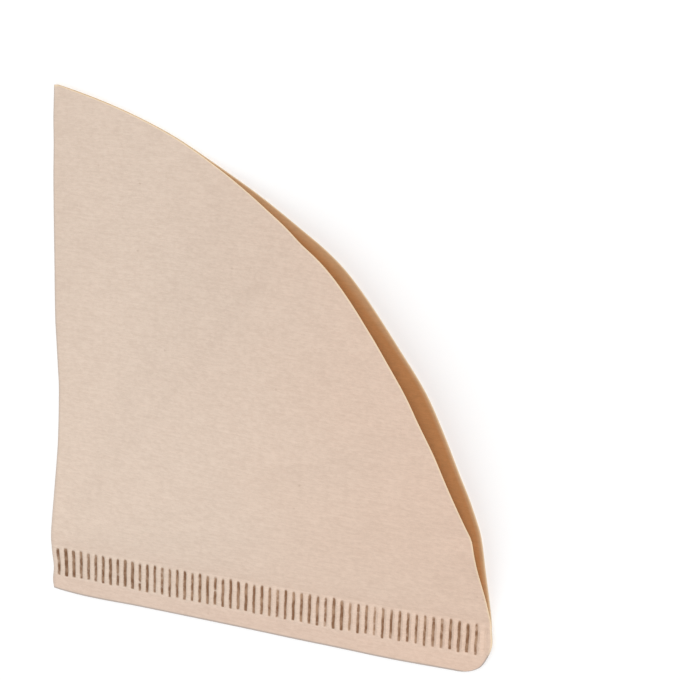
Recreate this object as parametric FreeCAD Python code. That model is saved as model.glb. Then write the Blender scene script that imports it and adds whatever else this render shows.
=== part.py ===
"""Cone coffee filter of unbleached paper.

One sheet folded in half along its left side, crimped shut along its lower edge and cut
through both plies along the mouth. It lies on its back ply, and the front ply bows up, so
that the pocket stands a little open at the mouth.

+X runs along the crimped seam towards the mouth, +Y along the fold and +Z up through the
plies. The sheet is drawn from the corner where the fold meets the seam's cut edge, and is
moved at the end so that the origin lies under the middle of its box.
"""
import FreeCAD, Part
import math
import os

# Cut outline
fold_length = 126.0         # along the fold, from the seam's cut edge to the mouth
seam_length = 114.9         # along the seam's cut edge, before its corner is rounded
corner_radius = 8.5         # where the mouth meets the seam's cut edge
mouth_seam_angle = 94.0     # direction in which the mouth's cut leaves the seam, in degrees
mouth_seam_pull = 97.0      # how far the cut is drawn along that direction
mouth_fold_angle = -11.0    # direction in which it leaves the fold
mouth_fold_pull = 27.0

# Paper
paper_thickness = 0.2       # one ply
ply_gap = 0.1               # air left between the plies where they lie closed

# Crimped seam: a row of ribs raised from the joined plies, hollow from below
rib_margin = 4.85           # seam's cut edge to the ribs
rib_length = 6.7
rib_pitch = 2.05
rib_width = 1.35            # the groove between two ribs is what the pitch leaves
rib_height = 0.38
rib_end_run = 0.45          # length over which a rib's end comes down to the flat strip
first_rib = 2.55            # fold to the middle of the first rib
last_rib_margin = 2.4       # least distance from the last rib's middle to the mouth
pocket_floor_clearance = 0.65   # ribs to the line where the plies part

# Mouth: the front ply rises along straight lines that run from the tip of the cone
mouth_lift = 10.45          # highest rise of the mouth's front edge
lift_angle = 28.0           # direction of that highest point, up from the seam, in degrees
lift_fullness = 1.47        # larger values narrow the hump towards its highest point
roof_spans = 12             # spline spans across the front ply, each way

overcut = 2.0               # how far the cutting shapes reach past the sheet
V = FreeCAD.Vector


def heading(degrees):
    angle = math.radians(degrees)
    return V(math.cos(angle), math.sin(angle), 0)


def mouth_cut():
    """The mouth's curve, from the seam's cut edge to a little past the fold."""
    seam_end = V(seam_length, 0, 0)
    fold_end = V(0, fold_length, 0) - heading(mouth_fold_angle) * overcut
    curve = Part.BezierCurve()
    curve.setPoles([seam_end, seam_end + heading(mouth_seam_angle) * mouth_seam_pull,
                    fold_end + heading(mouth_fold_angle) * (mouth_fold_pull + overcut), fold_end])
    return curve.toShape()


def to_mouth(start, degrees):
    """Distance from a point on the sheet to the mouth's cut, in one direction."""
    reach = heading(degrees) * (seam_length + fold_length)
    meeting = mouth_cut().distToShape(Part.makeLine(start, start + reach))[1][0][0]
    return meeting.distanceToPoint(start)


def cut_outline(depth):
    """The prism that the die cuts, open towards the fold, which it leaves alone."""
    cut = mouth_cut()
    corner, top = cut.Vertexes[0].Point, cut.Vertexes[-1].Point
    lines = Part.makePolygon([top, V(top.x, 0, 0), corner]).Edges
    prism = Part.Face(Part.Wire([cut] + lines)).extrude(V(0, 0, depth))
    upright = [edge for edge in prism.Edges
               if all(vertex.Point.sub(V(corner.x, corner.y, vertex.Z)).Length < 1e-6
                      for vertex in edge.Vertexes)]
    return prism.makeFillet(corner_radius, upright)


def front_rise(x, y, reach):
    """Rise of the front ply: a hump over the angle about the tip, in proportion to distance."""
    share, peak = math.degrees(math.atan2(y, x)) / 90, lift_angle / 90
    if share <= 0 or share >= 1:
        return 0.0
    falling = (1 - peak) / peak
    hump = (share / peak * ((1 - share) / (1 - peak)) ** falling) ** lift_fullness
    return mouth_lift * hump * math.hypot(x, y) / reach


def clamped_knots(low, high):
    return [low + (high - low) * i / roof_spans for i in range(roof_spans + 1)]


def pole_places(knots):
    """Averages of three knots in a row, which make a cubic spline's x and y run evenly."""
    ends = [knots[0]] * 3 + knots + [knots[-1]] * 3
    return [sum(ends[i + 1:i + 4]) / 3 for i in range(len(knots) + 2)]


def front_ply_face(start_x, seam_line, level):
    """The front ply's surface, level along the fold and the seam, over more than the sheet."""
    x_knots = clamped_knots(start_x, seam_length + overcut)
    y_knots = clamped_knots(seam_line, fold_length + overcut)
    reach = to_mouth(V(start_x, seam_line, 0), lift_angle)
    poles = [[V(x, y, level + front_rise(x - start_x, y - seam_line, reach))
              for y in pole_places(y_knots)] for x in pole_places(x_knots)]
    counts = [4] + [1] * (roof_spans - 1) + [4]
    surface = Part.BSplineSurface()
    surface.buildFromPolesMultsKnots(poles, counts, counts, x_knots, y_knots, False, False, 3, 3)
    return surface.toShape()


def block(low, high):
    size = high - low
    return Part.makeBox(size.x, size.y, size.z, low)


def under(face, floor, depth):
    """The solid between a face and a level floor beneath it."""
    box = face.BoundBox
    keep = block(V(box.XMin - overcut, box.YMin - overcut, floor),
                 V(box.XMax + overcut, box.YMax + overcut, floor + depth))
    return face.extrude(V(0, 0, -depth)).common(keep)


def rod(radius, start, length):
    return Part.makeCylinder(radius, length, start, V(0, 1, 0))


def folded_plies():
    """Both plies, the fold that joins them and the flat strip where the crimp holds them."""
    closed = 2 * paper_thickness + ply_gap
    bend = closed / 2
    depth = closed + 2 * mouth_lift
    seam_line = rib_margin + rib_length + pocket_floor_clearance
    outer = front_ply_face(bend, seam_line, closed)
    inner = front_ply_face(bend, seam_line, closed - paper_thickness)
    strip = block(V(bend, 0, 0), V(seam_length + overcut, seam_line, closed))
    fold = rod(bend, V(bend, 0, bend), fold_length + overcut)
    blank = strip.fuse([under(outer, 0, depth), fold]).common(cut_outline(depth))
    fold_inside = rod(ply_gap / 2, V(bend, seam_line, bend), fold_length + overcut - seam_line)
    pocket = under(inner, paper_thickness, depth).fuse(fold_inside)
    return blank.cut(pocket)


def rib_form(x, drop):
    """One rib: the crown of a round bar that shows above the joined plies, with sloped ends."""
    closed = 2 * paper_thickness + ply_gap
    crown = (rib_width ** 2 / 4 + rib_height ** 2) / (2 * rib_height)
    top = closed + rib_height - drop
    foot = closed / 2 - drop
    run = rib_end_run * (top - foot) / rib_height
    start, end = rib_margin + rib_end_run - run, rib_margin + rib_length - rib_end_run + run
    bar = rod(crown, V(x, start, top - crown), end - start)
    side = [V(x - crown, start, foot), V(x - crown, end, foot),
            V(x - crown, end - run, top), V(x - crown, start + run, top)]
    keep = Part.Face(Part.makePolygon(side + side[:1])).extrude(V(2 * crown, 0, 0))
    return bar.common(keep)


def rib_places():
    room = to_mouth(V(0, rib_margin + rib_length, 0), 0) - last_rib_margin - first_rib
    return [first_rib + rib_pitch * i for i in range(int(room / rib_pitch) + 1)]


def crimped(sheet):
    """Ribs raised on the front, each with its hollow behind, so that the wall keeps its gauge."""
    closed = 2 * paper_thickness + ply_gap
    first = rib_places()[0]
    rib, hollow = rib_form(first, 0), rib_form(first, closed)
    shifts = [V(x - first, 0, 0) for x in rib_places()]
    ribs = [rib.translated(shift) for shift in shifts]
    hollows = [hollow.translated(shift) for shift in shifts]
    return sheet.fuse(ribs).cut(hollows).removeSplitter()


os.makedirs("parts", exist_ok=True)
filter_paper = crimped(folded_plies()).Solids[0]
box = filter_paper.optimalBoundingBox(False, False)
filter_paper.translate(V(-box.Center.x, -box.Center.y, -box.ZMin))
filter_paper.exportStep("parts/filter_paper.step")
print("valid %s, %.1f x %.1f x %.2f mm, centred from %.2f, %.2f, %.2f cm3, %d ribs" % (
    filter_paper.isValid(), box.XLength, box.YLength, box.ZLength, box.Center.x, box.Center.y,
    filter_paper.Volume / 1000, len(rib_places())))
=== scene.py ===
import math
import bpy
import numpy as np
from mathutils import Matrix, Vector


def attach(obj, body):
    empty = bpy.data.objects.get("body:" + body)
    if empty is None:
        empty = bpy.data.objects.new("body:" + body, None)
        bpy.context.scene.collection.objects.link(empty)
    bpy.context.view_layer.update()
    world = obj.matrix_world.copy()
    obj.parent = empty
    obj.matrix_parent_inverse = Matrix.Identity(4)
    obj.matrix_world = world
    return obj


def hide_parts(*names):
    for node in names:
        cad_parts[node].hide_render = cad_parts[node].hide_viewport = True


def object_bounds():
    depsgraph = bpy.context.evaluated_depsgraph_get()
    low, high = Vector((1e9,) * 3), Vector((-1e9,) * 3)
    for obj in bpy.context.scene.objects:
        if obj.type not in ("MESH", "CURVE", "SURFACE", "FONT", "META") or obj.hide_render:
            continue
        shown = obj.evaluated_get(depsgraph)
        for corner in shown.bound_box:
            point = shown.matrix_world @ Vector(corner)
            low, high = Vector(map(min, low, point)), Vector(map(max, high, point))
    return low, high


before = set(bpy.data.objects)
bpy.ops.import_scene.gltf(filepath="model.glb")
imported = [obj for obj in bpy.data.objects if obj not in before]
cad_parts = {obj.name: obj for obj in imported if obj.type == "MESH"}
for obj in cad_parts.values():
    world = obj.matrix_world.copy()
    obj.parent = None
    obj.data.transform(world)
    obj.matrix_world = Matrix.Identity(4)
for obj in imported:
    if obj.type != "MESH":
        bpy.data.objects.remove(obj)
cadBox = [list(corner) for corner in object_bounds()]
sheetOrigin = Vector(cadBox[0])      # the corner where the fold meets the seam's cut edge
mm = 0.001
print("frame loaded")


# The camera looks down on the filter's face. Its place is in mm from the sheet's corner.
camera = {
    "place": (204.25, 160.32, 333.27),
    "right": (0.927305, 0.038124, -0.372361),
    "up": (-0.122065, 0.971217, -0.204543),
    "back": (0.353845, 0.235126, 0.905268),
    "lens": 86.515,
    "sensor": 36.0,
    "clip": (0.01, 20.0),        # metres
}


def makeCamera(c):
    data = bpy.data.cameras.new("camera")
    data.lens, data.sensor_width = c["lens"], c["sensor"]
    data.clip_start, data.clip_end = c["clip"]
    looker = bpy.data.objects.new("camera", data)
    turn = Matrix((c["right"], c["up"], c["back"])).transposed()
    place = Matrix.Translation(sheetOrigin + Vector(c["place"]) * mm)
    looker.matrix_world = place @ turn.to_4x4()
    bpy.context.scene.collection.objects.link(looker)
    bpy.context.scene.camera = looker


makeCamera(camera)


# All lengths in mm, angles in degrees. x runs along the seam, y along the fold.
sheet = {
    "thickness": 0.2,
    "closedGap": 0.1,
    "clearance": 0.03,          # floor to the underside of the free back ply
    "foldLength": 126.0,
    "seamLength": 114.9,
    "cornerRadius": 7.75,
    "seamEndAngle": 94.0, "seamEndPull": 97.0,
    "foldEndAngle": -11.0, "foldEndPull": 27.0,
    "foldOverrun": 2.0,
    "curvePoints": 6001,
    # how far the cut strays outward from that curve, by distance along it from the seam
    "cutWander": ((0, 13, 26, 30, 34, 38, 42, 47, 58, 67, 80, 89, 94, 101, 107, 114, 126, 140,
                   152, 160, 185),
                  (-.1, -.1, .05, .35, .58, .38, .15, -.27, -.36, -.08, -.34, .02, .36, .72, .54,
                   0, -.38, -.44, .1, .2, .2)),
    # the fold's line is not quite straight: sideways shift by y, fading into the sheet
    "foldWander": ((0, 2.5, 6, 10, 14, 18, 22, 26, 30, 34, 38, 42, 50, 54, 57, 61, 65, 68, 76, 83,
                    98, 105, 112, 119, 122, 126),
                   (-.2, -.6, -.35, -.85, -1.2, -.95, -.55, -.15, .25, .65, 1., 1.2, 1.4, 1.4,
                    1.2, .95, .7, .5, .3, .25, .05, 0, .1, .05, .15, .3)),
    "foldFade": 4.5,
    # the seam's cut edge strays along y, by x, and the stray is gone at seamFade
    "seamWander": ((0, 2, 4.5, 25, 54, 66, 77, 88, 99, 104, 120),
                   (.6, .34, .15, .13, .03, -.12, -.14, -.24, -.05, .1, .1)),
    "seamFade": 3,
    # how much higher the ribs sit at the mouth than at the fold, and the y where that grows and fades
    "bandDrift": 0.75, "driftSpan": 112, "driftGrows": (2, 4.5), "driftFades": (14, 40),
    "seamLine": 12.2,           # where the plies part
    "freeRun": 25,              # from there to where the back ply lies free
    # rise of the front ply at the mouth, by direction from the cone's tip
    "rise": ((0, 1.5, 3, 6, 9, 12, 15, 18, 22, 27, 31, 36, 41, 46, 49, 51.3, 54, 58, 62, 66, 69,
              75, 90),
             (0, 1., 1.8, 3.4, 4.9, 6.45, 7.85, 8.65, 9.5, 11., 10.45, 9.5, 8.8, 8.1, 7.5, 7.2,
              5.5, 4.1, 2.5, 1., .4, 0, 0)),
    # a short bend of the mouth's front edge that fades into the sheet
    "bend": ((0, 3, 6, 8.3, 9.8, 11.3, 13, 15, 18, 90), (0, .1, .6, 1., .7, -.2, 0, .2, 0, 0)),
    "bendFade": 7.0, "bendRun": 3,
    "foldRadius": 0.15, "foldSpring": 0.12,
    "belly": 0.6, "bellyStart": 7.0, "bellyEnd": 32.0,
    "bandLift": 0.30,           # the pressed grooves stand under the sheet's back and carry it
    # ripples: height, then the number of waves with their shortest and longest length
    "ripple": 0.10, "rippleWaves": (9, 28, 75), "rippleSwing": 0.5, "rippleAtSeam": 0.25,
    "fineRipple": 0.016, "fineWaves": (14, 6, 16), "fineRun": (1, 8),
    "edgeInsets": (0.42, 0.15), "insetShares": (0.3, 0.12),     # columns beside the mouth's edge
    "cutMarks": (1, 0.7),       # how much of the cut edge's cream, partly a painted highlight, the edge's two outermost columns get
    "seamPaintedShadow": (0.12, 0.45),  # a painted shadow darkens the seam's cut edge over this strip
    # a painted shadow also darkens the corner's edge below these y, and the fold
    "cornerPaintedShadow": (3.0, 7.0),
    "foldPaintedShadow": 0.4,
    # rows of points: turns round the corner, then the margin's last row
    "cornerTurns": (0, 7, 14, 21, 28, 35, 42, 49, 55), "lastMargin": 3.82,
    # the ribbed rows reach this far past the grooves, and crowd at the grooves' ends
    "bandReach": (0.3, 1.13),
    "bandFoot": (0, .12, .24, .36, .5, .7),
    "bandMiddle": (1.05, 1.85, 14),
    "bandTop": (1.5, 1.25, 1.05, .88, .72, .56, .42, .28, 0),
    # columns are squeezed where the mouth's edge leaves no room for them
    "edgeRoom": 0.1, "squeezeInset": 2.05, "squeezeSlant": 18, "squeezeRoom": 1.3,
    "topX": 0.75, "pocketSteps": (0.35, 1.16, 1.3),     # first step, growth and largest step
    "foldPoints": 5,
    "sharpAngle": 62,
    "seed": 11,
}
crimp = {
    "first": 1.525, "pitch": 2.05, "count": 55,
    "low": 4.28, "high": 11.37, "lowRun": 0.24, "highRun": 0.64, "endScatter": 0.13,
    "topRise": 0.27, "topRiseRun": (8, 45),     # the grooves reach higher away from the fold
    "depth": 0.27, "depthScatter": 0.14, "depthLimits": (0.65, 1.2), "lastDepth": 0.3,
    "endLoss": 0.16, "middle": 3.6, "halfLength": 3.5,      # grooves are shallower at their ends
    "crowns": (0.20, 0.36), "crownPlaces": (10, 90),        # by the fold and by the mouth
    "crownLow": (-0.5, 0.9), "crownHigh": (-0.7, 0.7), "crownFoot": 0.75, "firstCrown": 0.2,
    "floorHalf": 0.20, "wallHalf": 0.51,
    "columns": (-.56, -.38, -.2, 0, .2, .38, .56),
    "widening": 0.07, "wideningFade": 35, "narrowing": 0.3, "narrowingSpan": 112,
    "widthScatter": 0.016,
    "wander": 0.032, "wanderLengths": (3, 6),
    "bridges": {8: 7.4, 11: 6.4, 21: 8.1, 39: 9.2},     # groove and the y of its bridge
    "bridgeWidth": 0.32, "bridgeDepth": 0.6,
    "seed": 5,
}


def smoothStep(x, start, end):
    # 0 before start, 1 after end, and a smooth cubic between
    t = np.clip((x - start) / (end - start), 0, 1)
    return t * t * (3 - 2 * t)


def smoothTable(x, places, values):
    # a cubic through the table's points, with each slope taken from its two neighbours
    places, values = np.asarray(places, float), np.asarray(values, float)
    slopes = np.gradient(values, places)
    i = np.clip(np.searchsorted(places, x) - 1, 0, len(places) - 2)
    span = places[i + 1] - places[i]
    t = np.clip((x - places[i]) / span, 0, 1)
    return ((1 + 2 * t) * (1 - t) ** 2 * values[i] + t * (1 - t) ** 2 * span * slopes[i]
            + t * t * (3 - 2 * t) * values[i + 1] + t * t * (t - 1) * span * slopes[i + 1])


def heading(degrees):
    # the cosine and sine of a direction
    return np.array([math.cos(math.radians(degrees)), math.sin(math.radians(degrees))])


def mouthCurve(s):
    # a cubic Bezier curve from the seam's cut edge to the fold, moved outward by cutWander
    start = np.array([s["seamLength"], 0.0])
    end = np.array([0.0, s["foldLength"]]) - heading(s["foldEndAngle"]) * s["foldOverrun"]
    a = start + heading(s["seamEndAngle"]) * s["seamEndPull"]
    b = end + heading(s["foldEndAngle"]) * (s["foldEndPull"] + s["foldOverrun"])
    t = np.linspace(0, 1, s["curvePoints"])[:, None]
    curve = (1 - t) ** 3 * start + 3 * (1 - t) ** 2 * t * a + 3 * (1 - t) * t * t * b + t ** 3 * end
    along = np.gradient(curve, axis=0)
    along /= np.linalg.norm(along, axis=1)[:, None]
    outward = np.c_[along[:, 1], -along[:, 0]]
    length = np.r_[0, np.cumsum(np.linalg.norm(np.diff(curve, axis=0), axis=1))]
    return curve + outward * smoothTable(length, *s["cutWander"])[:, None]


def mouthX(curve, y, s):
    # the mouth's x at each y: a quarter circle at the corner, and the curve above it
    radius = s["cornerRadius"]
    lean = math.radians(s["seamEndAngle"] - 90)
    touch = radius * (1 + math.sin(lean))
    lower = curve[:len(curve) // 2]
    centre = np.interp(touch, lower[:, 1], lower[:, 0]) - radius * math.cos(lean)
    rounded = centre + np.sqrt(np.maximum(radius ** 2 - (np.minimum(y, touch) - radius) ** 2, 0))
    return np.where(y < touch, rounded, np.interp(y, curve[:, 1], curve[:, 0]))


def grooveShape(x, y, c):
    # how far the press has bitten at each point, 1 in a groove and 0 on the flat, and how far it
    # has raised the rib between two grooves: both are smooth steps of the distance to the nearest
    # groove's wavering middle line, times smooth steps over the groove's length
    rng = np.random.default_rng(c["seed"])
    low = c["low"] + rng.normal(0, c["endScatter"], c["count"])
    high = c["high"] + rng.normal(0, c["endScatter"], c["count"])
    high += c["topRise"] * smoothStep(np.arange(c["count"]) * c["pitch"], *c["topRiseRun"])
    power = np.clip(1 + rng.normal(0, c["depthScatter"], c["count"]), *c["depthLimits"])
    power[-1] = c["lastDepth"]
    bridge = np.full(c["count"], -99.0)     # far off the sheet, so no bridge
    bridge[list(c["bridges"])] = list(c["bridges"].values())
    k = np.clip(np.round((x - c["first"]) / c["pitch"]).astype(int), 0, c["count"] - 1)
    phase = rng.uniform(0, 6.28, c["count"])
    stretch = rng.uniform(*c["wanderLengths"], c["count"])
    wander = c["wander"] * np.sin(2 * math.pi * y / stretch[k] + phase[k])
    off = np.abs(x - c["first"] - k * c["pitch"] - wander)
    along = np.exp(-x / c["wideningFade"]) - c["narrowing"] * x / c["narrowingSpan"]
    wider = c["widening"] * along + c["widthScatter"] * rng.normal(0, 1, c["count"])[k]
    within = (smoothStep(y, low[k] - c["lowRun"], low[k] + c["lowRun"])
              * (1 - smoothStep(y, high[k] - c["highRun"], high[k] + c["highRun"])))
    fromMiddle = np.abs((y - c["low"] - c["middle"]) / c["halfLength"]).clip(0, 1)
    within = within * (1 - c["endLoss"] * fromMiddle ** 3)
    held = 1 - c["bridgeDepth"] * np.exp(-((y - bridge[k]) / c["bridgeWidth"]) ** 2)
    bite = (1 - smoothStep(off - wider, c["floorHalf"], c["wallHalf"])) * within * held * power[k]
    (lowStart, lowEnd), (highStart, highEnd) = c["crownLow"], c["crownHigh"]
    window = (smoothStep(y, c["low"] + lowStart, c["low"] + lowEnd)
              * (1 - smoothStep(y, c["high"] + highStart, c["high"] + highEnd)))
    crown = smoothStep(off, c["wallHalf"] * c["crownFoot"], c["pitch"] / 2) * window
    crown = crown * (x < c["first"] + c["pitch"] * c["count"])
    crown = crown * smoothStep(x, c["first"] - c["firstCrown"], c["first"] + c["firstCrown"])
    return bite, crown


def waves(x, y, seed, count, shortest, longest):
    # a sum of plane waves with seeded directions, lengths and phases, about 1 high
    rng = np.random.default_rng(seed)
    turn, phase = rng.uniform(0, math.pi, count), rng.uniform(0, 2 * math.pi, count)
    length = np.exp(rng.uniform(math.log(shortest), math.log(longest), count))
    total = np.zeros_like(x)
    for a, p, w in zip(turn, phase, length):
        total += np.sin(2 * math.pi * (x * math.cos(a) + y * math.sin(a)) / w + p)
    return total / math.sqrt(count / 2)


def frontRise(x, y, s, curve):
    # the front ply rises on straight lines from the cone's tip: the table gives the rise at the
    # mouth for a line's direction, and on the line it grows in proportion to the distance
    dx, dy = x - s["foldRadius"], np.maximum(y - s["seamLine"], 0)
    angle = np.degrees(np.arctan2(dy, np.maximum(dx, 1e-6)))
    reach = np.hypot(dx, dy)
    rim = curve[curve[:, 1] > s["seamLine"]] - np.array([s["foldRadius"], s["seamLine"]])
    rimAngle = np.degrees(np.arctan2(rim[:, 1], rim[:, 0]))
    rimReach = np.interp(angle, rimAngle, np.hypot(rim[:, 0], rim[:, 1]))
    rise = smoothTable(angle, *s["rise"]) * reach / rimReach
    bend = smoothTable(angle, *s["bend"]) * np.exp(-(rimReach - reach) / s["bendFade"])
    return np.where(dy > 0, rise + bend * smoothStep(dy, 0, s["bendRun"]), 0)


def heights(x, y, s, c, curve):
    # middle of the back ply and of the front ply above the floor, and the press's bite: the back
    # is its lift, ripple and crimp, and the front adds the gap, the belly and the rise to it
    bite, crown = grooveShape(x, y, c)
    pressed = np.interp(x, c["crownPlaces"], c["crowns"]) * crown - c["depth"] * bite
    free = smoothStep(y, s["seamLine"], s["seamLine"] + s["freeRun"])
    atSeam = s["rippleAtSeam"]
    ripple = (s["ripple"] * (1 + waves(x, y, s["seed"], *s["rippleWaves"]) * s["rippleSwing"])
              * (atSeam + (1 - atSeam) * free))
    back = (s["thickness"] / 2 + s["clearance"] + s["bandLift"] * (1 - free)
            + np.maximum(ripple, 0) + pressed)
    closed = s["thickness"] + s["closedGap"]
    spring = 2 * s["foldSpring"] * free
    belly = s["belly"] * (1 - np.exp(-x / s["bellyStart"])) * np.exp(-x / s["bellyEnd"]) * free
    fine = s["fineRipple"] * waves(x, y, s["seed"] + 1, *s["fineWaves"]) * free
    lift = np.where(y > s["seamLine"], frontRise(x, y, s, curve), 0)
    front = back + closed + spring + belly + lift + fine * smoothStep(x, *s["fineRun"])
    return back, front, bite


def rowSteps(total, first, growth, largest):
    # places from 0 to total whose steps grow from first to largest
    steps = [first]
    while sum(steps) < total:
        steps.append(min(steps[-1] * growth, largest))
    places = np.r_[0, np.cumsum(steps)]
    return places * total / places[-1]


def plan(s, c, curve):
    # x and y of one ply's points, before the fold wanders: margin rows, ribbed rows and pocket
    # rows. Ribbed rows have columns on every groove's floor and walls. The others keep one each.
    offsets = np.array([*c["columns"], c["pitch"] / 2])
    step = len(offsets)
    inner = (c["first"] + c["pitch"] * np.arange(c["count"])[:, None] + offsets).ravel()[:-1]
    dense = 1 + len(inner) + 3      # the fold, the grooves and three columns at the mouth's edge
    keep = np.r_[0, 1, step // 2, np.arange(step, len(inner), step), len(inner), dense - 3:dense]
    keep = np.unique(keep)
    far, near = s["edgeInsets"]

    turn = np.radians(s["cornerTurns"])
    marginY = np.r_[s["cornerRadius"] * (1 - np.cos(turn)), s["lastMargin"]]
    below, above = s["bandReach"]
    bandStart, bandEnd = c["low"] - below, c["high"] + above
    fromStart, fromEnd, middleRows = s["bandMiddle"]
    bandY = np.r_[bandStart + np.array(s["bandFoot"]),
                  np.linspace(bandStart + fromStart, bandEnd - fromEnd, middleRows),
                  bandEnd - np.array(s["bandTop"])]

    def levelRow(y):
        # columns at one y, those past squeeze drawn together to end before the mouth's edge
        edge = mouthX(curve, np.array([y]), s)[0]
        room, last = edge - far - s["edgeRoom"], inner[-1]
        slant = s["squeezeSlant"] * (1 - min(y / bandStart, 1))
        squeeze = min(s["seamLength"] - s["squeezeInset"] - slant, room - s["squeezeRoom"])
        x = inner
        if room < last:
            drawn = squeeze + (x - squeeze) * (room - squeeze) / (last - squeeze)
            x = np.where(x > squeeze, drawn, x)
        return np.r_[s["foldRadius"] + s["thickness"] / 2, x, edge - far, edge - near, edge]

    margin = [(levelRow(y)[keep], np.full(len(keep), y)) for y in marginY]
    band = [(levelRow(y), np.full(dense, y)) for y in bandY]

    start = np.searchsorted(curve[:, 1], bandEnd)
    length = np.r_[0, np.cumsum(np.linalg.norm(np.diff(curve[start:], axis=0), axis=1))]
    total = np.interp(-s["topX"], -curve[start:, 0], length)
    places = rowSteps(total, *s["pocketSteps"])[1:]
    mouth = np.c_[np.interp(places, length, curve[start:, 0]),
                  np.interp(places, length, curve[start:, 1])]
    foldY = bandEnd + (s["foldLength"] - bandEnd) * (places / total)
    base = band[-1][0][keep]
    u = (base[:-3] - base[0]) / (base[-3] - base[0])
    farShare, nearShare = s["insetShares"]
    pocket = []
    for (mx, my), fy in zip(mouth, foldY):
        fold = np.array([base[0], fy])
        run = np.hypot(mx - fold[0], my - fy)
        inset = np.array([min(far, farShare * run), min(near, nearShare * run), 0])
        part = np.r_[u * (run - inset[0]), run - inset] / run
        line = fold + part[:, None] * (np.array([mx, my]) - fold)
        pocket.append((line[:, 0], line[:, 1]))
    return margin, band, pocket, keep, dense


def ring(x, y, s, c, curve):
    # one row of the folded sheet: the back ply from the mouth to the fold, a half circle round
    # the fold, and the front ply back to the mouth, as outer and inner points
    back, front, bite = heights(x, y, s, c, curve)
    drift = (s["bandDrift"] * (x / s["driftSpan"]) ** 3 * smoothStep(y, *s["driftGrows"])
             * (1 - smoothStep(y, *s["driftFades"])))
    yy = y + drift + smoothTable(x, *s["seamWander"]) * (1 - smoothStep(y, 0, s["seamFade"]))
    half = s["thickness"] / 2
    radius = (front[0] - back[0]) / 2
    shift = smoothTable(yy, *s["foldWander"])
    xx = x + shift * np.exp(-x / s["foldFade"])
    n = s["foldPoints"]
    phi = np.radians(np.arange(1, n + 1) * 180 / (n + 1))
    centre = (xx[0], (front[0] + back[0]) / 2)
    rows = []
    for side in (1, -1):
        r = radius + side * half
        foldX, foldZ = centre[0] - r * np.sin(phi), centre[1] - r * np.cos(phi)
        px = np.r_[xx[::-1], foldX, xx]
        py = np.r_[yy[::-1], np.full(n, yy[0]), yy]
        pz = np.r_[back[::-1] - side * half, foldZ, front + side * half]
        rows.append(np.c_[px, py, pz])
    flatX = np.r_[-x[::-1], np.linspace(-x[0], x[0], n + 2)[1:-1], x]
    flat = np.c_[flatX, py, np.zeros(len(py))]
    press = np.r_[bite[::-1], np.full(n, bite[0]), bite]
    # the cut edge's cream, partly a painted highlight, marks each row's two outermost columns
    cut = np.zeros(len(py))
    cut[[0, -1]], cut[[1, -2]] = s["cutMarks"]
    # painted shadow: the seam's cut edge, the corner's last columns and the fold are darkened to
    # stand in for the thin contact shadow along them, and the cut cream is held back there
    dark = np.full(len(x), 1 - smoothStep(y[0], *s["seamPaintedShadow"]))
    dark[0] = max(dark[0], s["foldPaintedShadow"] / 2)
    dark[-2:] = np.maximum(dark[-2:], 1 - smoothStep(y[0], *s["cornerPaintedShadow"]))
    paintedShadow = np.r_[dark[::-1], np.full(n, max(dark[0], s["foldPaintedShadow"])), dark]
    away = np.hypot(x[-1] - x, y[-1] - y)
    fromMouth = np.r_[away[::-1], np.full(n, away[0]), away]
    return rows[0], rows[1], flat, np.c_[press, cut * (1 - paintedShadow), fromMouth, paintedShadow]


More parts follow.
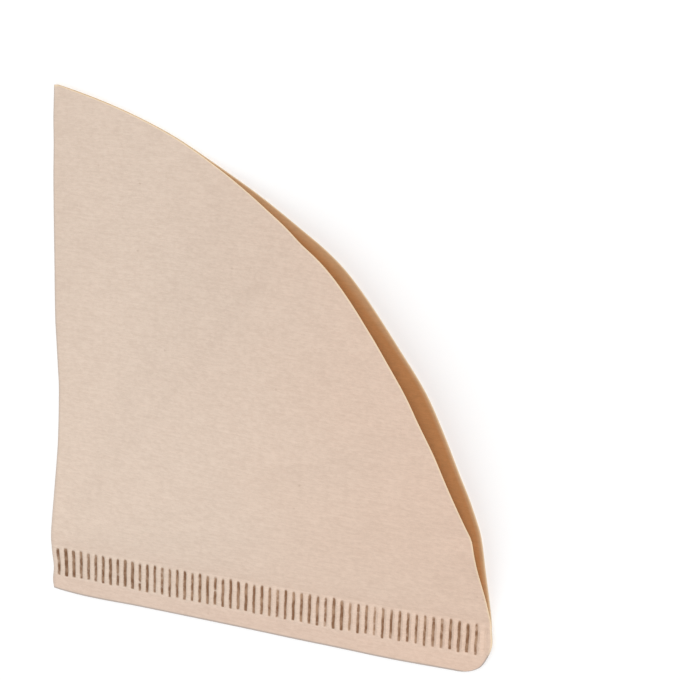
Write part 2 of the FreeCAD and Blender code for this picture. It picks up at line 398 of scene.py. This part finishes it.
def buildSheet(s, c):
    # the rings are joined row by row into the outer and inner skin, and rims close the four sides
    curve = mouthCurve(s)
    margin, band, pocket, keep, dense = plan(s, c, curve)
    n = s["foldPoints"]
    fullKeep = np.r_[dense - 1 - keep[::-1], dense + np.arange(n), dense + n + keep]
    made = [ring(x, y, s, c, curve) for x, y in margin + band + pocket]
    widths = [len(row[0]) for row in made]
    starts = [0] + list(np.cumsum(widths)[:-1])
    made[-1][3][:, 1] = 1       # the last row is all cut edge and takes the cream with its painted highlight
    outer, inner, flat, marks = (np.concatenate(part) for part in zip(*made))

    faces = []

    def grid(low, high):
        # quads between two rows of equal width
        k = np.arange(widths[low] - 1)
        a, b = starts[low] + k, starts[high] + k
        faces.append(np.c_[a, a + 1, b + 1, b])

    def stitch(coarse, fine, fineAbove):
        # triangles between two rows: each fine edge goes to the nearer end of its coarse edge
        low, high = fullKeep[:-1], fullKeep[1:]
        middle = np.where(high - low > 1, (low + high) // 2, high)
        j, cell = np.arange(fullKeep[-1]), np.arange(len(low))
        owner = np.searchsorted(fullKeep, j, side="right") - 1
        tip = starts[coarse] + owner + (j >= middle[owner])
        fans = np.c_[starts[fine] + j + 1, tip, starts[fine] + j]
        gaps = np.c_[starts[fine] + middle, starts[coarse] + cell + 1, starts[coarse] + cell]
        both = np.concatenate([fans, gaps])
        faces.append(both[:, ::-1] if fineAbove else both)

    bandAt, pocketAt = len(margin), len(margin) + len(band)
    for r in range(bandAt - 1):
        grid(r, r + 1)
    stitch(bandAt - 1, bandAt, True)
    for r in range(bandAt, pocketAt - 1):
        grid(r, r + 1)
    stitch(pocketAt, pocketAt - 1, False)
    for r in range(pocketAt, len(starts) - 1):
        grid(r, r + 1)

    count = len(outer)
    skins = list(faces) + [f[:, ::-1] + count for f in faces]
    k = starts[0] + np.arange(widths[0] - 1)
    skins.append(np.c_[k + count, k + 1 + count, k + 1, k])
    k = starts[-1] + np.arange(widths[-1] - 1)
    skins.append(np.c_[k, k + 1, k + 1 + count, k + count])
    first = np.array(starts)
    last = first + np.array(widths) - 1
    skins.append(np.c_[first[:-1], first[1:], first[1:] + count, first[:-1] + count])
    skins.append(np.c_[last[:-1], last[:-1] + count, last[1:] + count, last[1:]])

    points = np.concatenate([outer, inner]) * mm + np.array(sheetOrigin)
    mesh = bpy.data.meshes.new("filterSheet")
    mesh.from_pydata(points.tolist(), [], [f for part in skins for f in part.tolist()])
    press, cut, fromMouth, paintedShadow = marks.T
    values = {"press": np.r_[press, press], "inside": np.r_[np.zeros(count), np.ones(count)],
              "cutEdge": np.r_[cut, cut], "fromMouth": np.r_[fromMouth, fromMouth],
              "edgeShade": np.r_[paintedShadow, paintedShadow]}
    for name, data in values.items():
        layer = mesh.attributes.new(name, "FLOAT", "POINT")
        layer.data.foreach_set("value", data.astype(np.float32))
    place = np.concatenate([flat, flat]).astype(np.float32)
    layer = mesh.attributes.new("flatSheet", "FLOAT_VECTOR", "POINT")
    layer.data.foreach_set("vector", place.ravel())
    mesh.shade_smooth()
    mesh.set_sharp_from_angle(angle=math.radians(s["sharpAngle"]))
    mesh.validate()
    mesh.update()
    piece = bpy.data.objects.new("filterSheet", mesh)
    bpy.context.scene.collection.objects.link(piece)
    mesh.calc_loop_triangles()
    print("sheet built:", len(mesh.vertices), "points,", len(mesh.loop_triangles), "triangles")
    return piece


filterSheet = buildSheet(sheet, crimp)
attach(filterSheet, "root")
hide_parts("filter_paper")


# Ranges are low and high, and where four numbers stand, the values at low and at high too.
paper = {
    "light": (0.786, 0.646, 0.536),
    "dark": (0.688, 0.554, 0.454),
    "toneRange": (0.39, 0.61),
    # painted shadow colour for the seam's cut edge, the corner and the fold
    "paintedShadow": (0.39, 0.335, 0.31), "paintedShadowShare": 0.9,
    # the cut edge's cream, partly its own colour and partly a painted highlight
    "cut": (0.93, 0.76, 0.52), "cutShare": 0.8,
    # painted light: the face is lighter by the seam, where its slope is in shade, and darker toward
    # the tip
    "paintedLightTones": (1.025, 0.965), "tipRange": (14, 105),     # by the seam and at the tip of the fold
    # the sheet reddens away from the fold
    "blush": (1.0, 0.935, 0.905), "blushRange": (34, 128), "blushWander": 24.0,
    # and is darker above and below the grooves, whose middle lies at bandMiddle
    "strip": (0.96, 0.925, 0.918), "bandMiddle": 8.0, "stripRange": (3.2, 4.6),
    "stripAbove": (5.0, 18.0, 1.0, 0), "stripAcross": (62, 112, 1.0, 0.45),
    # painted highlight: the ribbed band is lighter near the mouth and a little darker by the fold
    "ribHighlightTones": (0.972, 1.022), "ribAcross": (35, 105), "ribRange": (2.8, 4.0),
    # the grooves, brown on their floor and lighter up their walls, partly the pressed paper's own
    # brown and partly painted shade
    "pressed": (0.24, 0.120, 0.060), "pressedEdge": (0.42, 0.265, 0.17),
    "biteRange": (0.15, 0.85, 0, 0.97), "raggedRange": (0.3, 0.62, 0.71, 1.11),
    "patchRange": (0.36, 0.62), "grooveTone": 0.84, "grooveAcross": (8, 60),
    # the pocket's inside, painted shade that is browner deep in and lighter by the mouth over a width
    # that grows up the sheet
    "insideShadeDeep": (0.59, 0.28, 0.11), "insideShadeNear": (0.66, 0.40, 0.21),
    "nearStart": 0.3, "nearWidth": (66, 92, 1.35, 3.5),
    "fleck": (0.1, 0.04, 0.015), "fleckRange": (0.38, 0.62, 0.16, 0),
    "speckPlace": (0.16, 0.22, 3), "speckPick": (0.55, 0.6), "speckSize": (0.035, 0.075, 1, 0),
    "speckShare": 0.16,
    # noises: stretch along x and y, shift, detail and roughness
    "noises": {
        "crepe": (0.20, 2.1, 0.0, 3, 0.6),
        "crepeFine": (0.9, 4.5, 31, 2, 0.5),
        "fibre": (4.2, 4.8, 17, 2, 0.5),
        "cloud": (0.17, 0.22, 5, 2, 0.5),
        "blush": (0.035, 0.045, 71, 1, 0.4),
        "mottle": (0.62, 0.95, 23, 3, 0.7),
        "ragged": (1.6, 0.85, 47, 3, 0.6),
        "patch": (0.5, 0.42, 91, 2, 0.5),
    },
    "toneWeights": {"crepe": 0.22, "cloud": 0.10, "fibre": 0.20, "crepeFine": 0.18, "mottle": 0.30},
    "reliefWeights": {"crepe": 0.5, "crepeFine": 0.25, "fibre": 0.25},
    "reliefStrength": 0.5, "reliefDepth": 0.00012,      # depth in metres
    "through": (0.80, 0.50, 0.27), "throughShare": 0.16,
    "roughness": 0.92,
    "specular": 0.2,
}


def makeNodes(material):
    # an empty node tree and a function that adds a node: _0 sets or links its first socket, and
    # a socket's name sets or links that one
    material.use_nodes = True
    tree = material.node_tree
    tree.nodes.clear()

    def add(kind, settings=None, **inputs):
        node = tree.nodes.new(kind)
        for key, value in (settings or {}).items():
            setattr(node, key, value)
        for key, value in inputs.items():
            numbered = key[1:].isdigit()
            socket = node.inputs[int(key[1:])] if numbered else node.inputs[key.replace("_", " ")]
            if isinstance(value, bpy.types.NodeSocket):
                tree.links.new(value, socket)
            else:
                socket.default_value = value
        return node

    return tree, add


def paperMaterial(p):
    # the paper's colour in layers: tone, blush, strip, painted light by the seam and on the ribs,
    # specks, grooves with partly painted shade, the inside's painted shade, the cut edge's cream with
    # a painted highlight, and a painted edge shadow
    material = bpy.data.materials.new("unbleachedPaper")
    tree, add = makeNodes(material)
    place = add("ShaderNodeAttribute", {"attribute_name": "flatSheet"}).outputs["Vector"]

    def value(name):
        return add("ShaderNodeAttribute", {"attribute_name": name}).outputs["Fac"]

    def stretched(x, y, shift):
        return add("ShaderNodeMapping", None, Vector=place, Scale=(x, y, 1),
                   Location=(shift, shift, 0)).outputs[0]

    def noise(x, y, shift, detail, roughness):
        return add("ShaderNodeTexNoise", None, Vector=stretched(x, y, shift), Scale=1.0,
                   Detail=detail, Roughness=roughness).outputs["Fac"]

    def maths(operation, a, b=0.0):
        return add("ShaderNodeMath", {"operation": operation}, _0=a, _1=b).outputs[0]

    def mix(share, a, b, blend="MIX"):
        node = add("ShaderNodeMix", {"data_type": "RGBA", "blend_type": blend}, _0=share)
        for socket, colour in ((node.inputs[6], a), (node.inputs[7], b)):
            if isinstance(colour, bpy.types.NodeSocket):
                tree.links.new(colour, socket)
            else:
                socket.default_value = (*colour, 1)
        return node.outputs[2]

    def times(colour, factor):
        return mix(1.0, colour, factor, "MULTIPLY")

    def remap(x, low, high, start=0.0, end=1.0):
        return add("ShaderNodeMapRange", {"interpolation_type": "SMOOTHSTEP"}, _0=x, _1=low,
                   _2=high, _3=start, _4=end).outputs[0]

    noises = {name: noise(*setting) for name, setting in p["noises"].items()}

    def weighted(weights):
        total = 0.0
        for name, weight in weights.items():
            total = maths("ADD", total, maths("MULTIPLY", noises[name], weight))
        return total

    tone = weighted(p["toneWeights"])
    colour = mix(remap(tone, *p["toneRange"]), p["dark"], p["light"])
    spot = add("ShaderNodeSeparateXYZ", None, _0=place).outputs
    fromFold = maths("ABSOLUTE", spot[0])
    across = maths("ADD", fromFold, maths("MULTIPLY", noises["blush"], p["blushWander"]))
    colour = mix(remap(across, *p["blushRange"]), colour, times(colour, p["blush"]))
    fromBand = maths("ABSOLUTE", maths("SUBTRACT", spot[1], p["bandMiddle"]))
    strip = maths("MULTIPLY", remap(fromBand, *p["stripRange"]), remap(spot[1], *p["stripAbove"]))
    strip = maths("MULTIPLY", strip, remap(across, *p["stripAcross"]))
    colour = mix(strip, colour, times(colour, p["strip"]))
    # painted highlight on the ribs, lighter toward the mouth
    ribHighlight = remap(fromBand, *p["ribRange"], remap(across, *p["ribAcross"], *p["ribHighlightTones"]), 1.0)
    # painted light: lighter by the seam, darker toward the tip, times the ribs' painted highlight
    paintedLightLevel = maths("MULTIPLY", remap(spot[1], *p["tipRange"], *p["paintedLightTones"]), ribHighlight)
    colour = times(colour, paintedLightLevel)

    speck = add("ShaderNodeTexVoronoi", {"feature": "F1"}, Vector=stretched(*p["speckPlace"]),
                Scale=1.0)
    chance = add("ShaderNodeSeparateColor", None, _0=speck.outputs["Color"]).outputs[0]
    picked = maths("MULTIPLY", remap(speck.outputs["Distance"], *p["speckSize"]),
                   remap(chance, *p["speckPick"]))
    colour = mix(maths("MULTIPLY", picked, p["speckShare"]), colour, p["pressed"])

    # the grooves' brown is partly the pressed paper's own colour and partly painted shade
    bitten = maths("MULTIPLY", value("press"), remap(noises["ragged"], *p["raggedRange"]))
    grooveBrownAndShade = mix(remap(noises["patch"], *p["patchRange"]), p["pressedEdge"], p["pressed"])
    grooveBrownAndShade = times(grooveBrownAndShade, remap(fromFold, *p["grooveAcross"], p["grooveTone"], 1))
    colour = mix(remap(bitten, *p["biteRange"]), colour, grooveBrownAndShade)

    # painted shade: the pocket's inside is browner deep in and lighter by the mouth
    nearWidth = remap(spot[1], *p["nearWidth"])
    nearMouth = remap(value("fromMouth"), p["nearStart"], nearWidth, 1, 0)
    insideShadeTone = mix(nearMouth, p["insideShadeDeep"], p["insideShadeNear"])
    insideShadeTone = mix(remap(tone, *p["fleckRange"]), insideShadeTone, p["fleck"])
    colour = mix(value("inside"), colour, insideShadeTone)
    # the cut edge's cream, partly a painted highlight
    colour = mix(maths("MULTIPLY", value("cutEdge"), p["cutShare"]), colour, p["cut"])
    # painted shadow along the seam's cut edge, the corner and the fold
    colour = mix(maths("MULTIPLY", value("edgeShade"), p["paintedShadowShare"]), colour, p["paintedShadow"])

    bump = add("ShaderNodeBump", None, Strength=p["reliefStrength"], Distance=p["reliefDepth"],
               Height=weighted(p["reliefWeights"])).outputs[0]
    front = add("ShaderNodeBsdfPrincipled", None, Base_Color=colour, Roughness=p["roughness"],
                Specular_IOR_Level=p["specular"], Normal=bump)
    through = add("ShaderNodeBsdfTranslucent", None, Color=times(colour, p["through"]),
                  Normal=bump)
    both = add("ShaderNodeMixShader", None, _0=p["throughShare"], _1=front.outputs[0],
               _2=through.outputs[0])
    add("ShaderNodeOutputMaterial", None, Surface=both.outputs[0])
    return material


filterSheet.data.materials.append(paperMaterial(paper))
print("paper finished")


stage = {
    "floorSize": 6.0,            # metres
    "floor": (0.90, 0.90, 0.90),
    "sky": 0.70,
    "keyFrom": (1.0, 0.9, 2.6),
    "keySpread": 24.0,           # degrees across the light
    "keyPower": 1.73,
}


def makeStage(t):
    size = t["floorSize"] / 2
    corners = [(-size, -size, 0), (size, -size, 0), (size, size, 0), (-size, size, 0)]
    mesh = bpy.data.meshes.new("floor")
    mesh.from_pydata(corners, [], [(0, 1, 2, 3)])
    floor = bpy.data.objects.new("floor", mesh)
    bpy.context.scene.collection.objects.link(floor)
    material = bpy.data.materials.new("paleFloor")
    tree, add = makeNodes(material)
    lit = add("ShaderNodeBsdfDiffuse", None, Color=(*t["floor"], 1))
    add("ShaderNodeOutputMaterial", None, Surface=lit.outputs[0])
    mesh.materials.append(material)

    # the sky lights the paper with its own strength, and the camera sees it as white
    world = bpy.data.worlds.new("studio")
    bpy.context.scene.world = world
    tree, add = makeNodes(world)
    seen = add("ShaderNodeLightPath").outputs["Is Camera Ray"]
    strength = add("ShaderNodeMapRange", None, _0=seen, _3=t["sky"], _4=1.0).outputs[0]
    sky = add("ShaderNodeBackground", None, Color=(1, 1, 1, 1), Strength=strength)
    add("ShaderNodeOutputWorld", None, Surface=sky.outputs[0])

    data = bpy.data.lights.new("key", "SUN")
    data.angle, data.energy = math.radians(t["keySpread"]), t["keyPower"]
    key = bpy.data.objects.new("key", data)
    key.location = t["keyFrom"]
    key.rotation_euler = (-Vector(t["keyFrom"])).to_track_quat("-Z", "Y").to_euler()
    bpy.context.scene.collection.objects.link(key)


makeStage(stage)
bpy.context.scene.view_settings.view_transform = "Standard"
print("stage lit")
